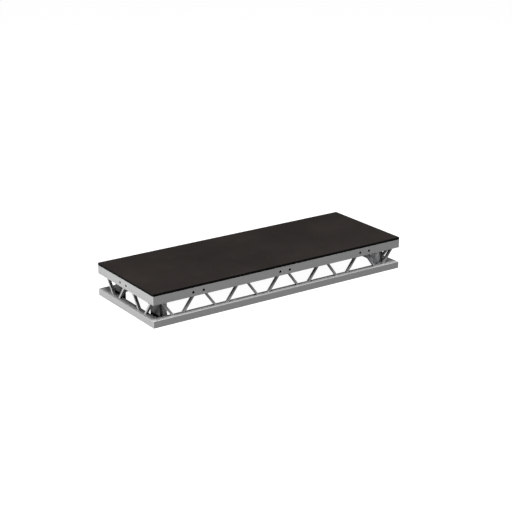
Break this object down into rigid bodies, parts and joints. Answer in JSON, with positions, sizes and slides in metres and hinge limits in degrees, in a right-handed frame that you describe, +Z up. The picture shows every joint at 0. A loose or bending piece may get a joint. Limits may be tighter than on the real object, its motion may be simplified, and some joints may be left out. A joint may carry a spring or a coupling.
{
  "type": "stage riser platform",
  "caption": "Rectangular stage platform: dark plywood deck on a deep braced aluminium frame, with round leg sockets and clamp screws in its corners.",
  "frame": {"origin": "centre of the frame's footprint, on the plane under the lower rails", "axes": "+X along the long side, +Y across it towards the back, +Z up through the deck panel"},
  "size_m": [2.44, 0.884, 0.28],
  "materials": {
    "panel_face": "film-faced birch plywood, dark brown to black phenolic face with a fine anti-slip print",
    "rail_metal": "mill-finish extruded aluminium with faint drawing lines along each rail",
    "brace_metal": "mill-finish aluminium tube, slightly duller than the rails",
    "corner_metal": "sawn and welded aluminium plate and tube, satin",
    "screw_steel": "zinc-plated steel",
    "pad_brass": "turned brass",
    "black_screw": "black-coated countersunk screws"
  },
  "bodies": {
    "frame": {"deck_panel": "panel_face", "panel_screws": "black_screw", "upper_rail_front": "rail_metal", "upper_rail_back": "rail_metal", "upper_rail_left": "rail_metal", "upper_rail_right": "rail_metal", "lower_rail_front": "rail_metal", "lower_rail_back": "rail_metal", "lower_rail_left": "rail_metal", "lower_rail_right": "rail_metal", "link_sleeves_front": "rail_metal", "link_sleeves_back": "rail_metal", "link_sleeves_left": "rail_metal", "link_sleeves_right": "rail_metal", "front_braces_1": "brace_metal", "front_braces_2": "brace_metal", "front_braces_3": "brace_metal", "front_braces_4": "brace_metal", "front_braces_5": "brace_metal", "front_braces_6": "brace_metal", "back_braces_1": "brace_metal", "back_braces_2": "brace_metal", "back_braces_3": "brace_metal", "back_braces_4": "brace_metal", "back_braces_5": "brace_metal", "back_braces_6": "brace_metal", "left_braces_1": "brace_metal", "left_braces_2": "brace_metal", "right_braces_1": "brace_metal", "right_braces_2": "brace_metal", "cross_beam_left": "corner_metal", "cross_beam_right": "corner_metal", "joists": "rail_metal", "haunch_front_left": "corner_metal", "haunch_front_right": "corner_metal", "haunch_back_left": "corner_metal", "haunch_back_right": "corner_metal", "socket_front_left": "corner_metal", "socket_front_right": "corner_metal", "socket_back_left": "corner_metal", "socket_back_right": "corner_metal", "boss_front_left": "screw_steel", "boss_front_right": "screw_steel", "boss_back_left": "screw_steel", "boss_back_right": "screw_steel", "leg_stops": "corner_metal", "socket_packers": "corner_metal"},
    "clamp_pad_front_left": {"pad_front_left": "pad_brass"},
    "clamp_screw_front_left": {"screw_front_left": "screw_steel", "tommy_front_left": "screw_steel"},
    "clamp_pad_front_right": {"pad_front_right": "pad_brass"},
    "clamp_screw_front_right": {"screw_front_right": "screw_steel", "tommy_front_right": "screw_steel"},
    "clamp_pad_back_left": {"pad_back_left": "pad_brass"},
    "clamp_screw_back_left": {"screw_back_left": "screw_steel", "tommy_back_left": "screw_steel"},
    "clamp_pad_back_right": {"pad_back_right": "pad_brass"},
    "clamp_screw_back_right": {"screw_back_right": "screw_steel", "tommy_back_right": "screw_steel"}
  },
  "joints": [
    {"name": "pad_slide_front_left", "type": "slide", "parent": "frame", "child": "clamp_pad_front_left", "axis": [-1, 0, 0], "range_m": [0, 0.004]},
    {"name": "screw_turn_front_left", "type": "hinge", "parent": "clamp_pad_front_left", "child": "clamp_screw_front_left", "pos_m": [-1.0087, -0.33, 0.172], "axis": [-1, 0, 0], "range_deg": [0, 720]},
    {"name": "pad_slide_front_right", "type": "slide", "parent": "frame", "child": "clamp_pad_front_right", "axis": [1, 0, 0], "range_m": [0, 0.004]},
    {"name": "screw_turn_front_right", "type": "hinge", "parent": "clamp_pad_front_right", "child": "clamp_screw_front_right", "pos_m": [1.0087, -0.33, 0.172], "axis": [1, 0, 0], "range_deg": [0, 720]},
    {"name": "pad_slide_back_left", "type": "slide", "parent": "frame", "child": "clamp_pad_back_left", "axis": [-1, 0, 0], "range_m": [0, 0.004]},
    {"name": "screw_turn_back_left", "type": "hinge", "parent": "clamp_pad_back_left", "child": "clamp_screw_back_left", "pos_m": [-1.0087, 0.33, 0.172], "axis": [-1, 0, 0], "range_deg": [0, 720]},
    {"name": "pad_slide_back_right", "type": "slide", "parent": "frame", "child": "clamp_pad_back_right", "axis": [1, 0, 0], "range_m": [0, 0.004]},
    {"name": "screw_turn_back_right", "type": "hinge", "parent": "clamp_pad_back_right", "child": "clamp_screw_back_right", "pos_m": [1.0087, 0.33, 0.172], "axis": [1, 0, 0], "range_deg": [0, 720]}
  ],
  "couplings": [
    {"joint": "screw_turn_front_left", "follows": "pad_slide_front_left", "rad_per_m": 3141.6},
    {"joint": "screw_turn_front_right", "follows": "pad_slide_front_right", "rad_per_m": 3141.6},
    {"joint": "screw_turn_back_left", "follows": "pad_slide_back_left", "rad_per_m": 3141.6},
    {"joint": "screw_turn_back_right", "follows": "pad_slide_back_right", "rad_per_m": 3141.6}
  ]
}
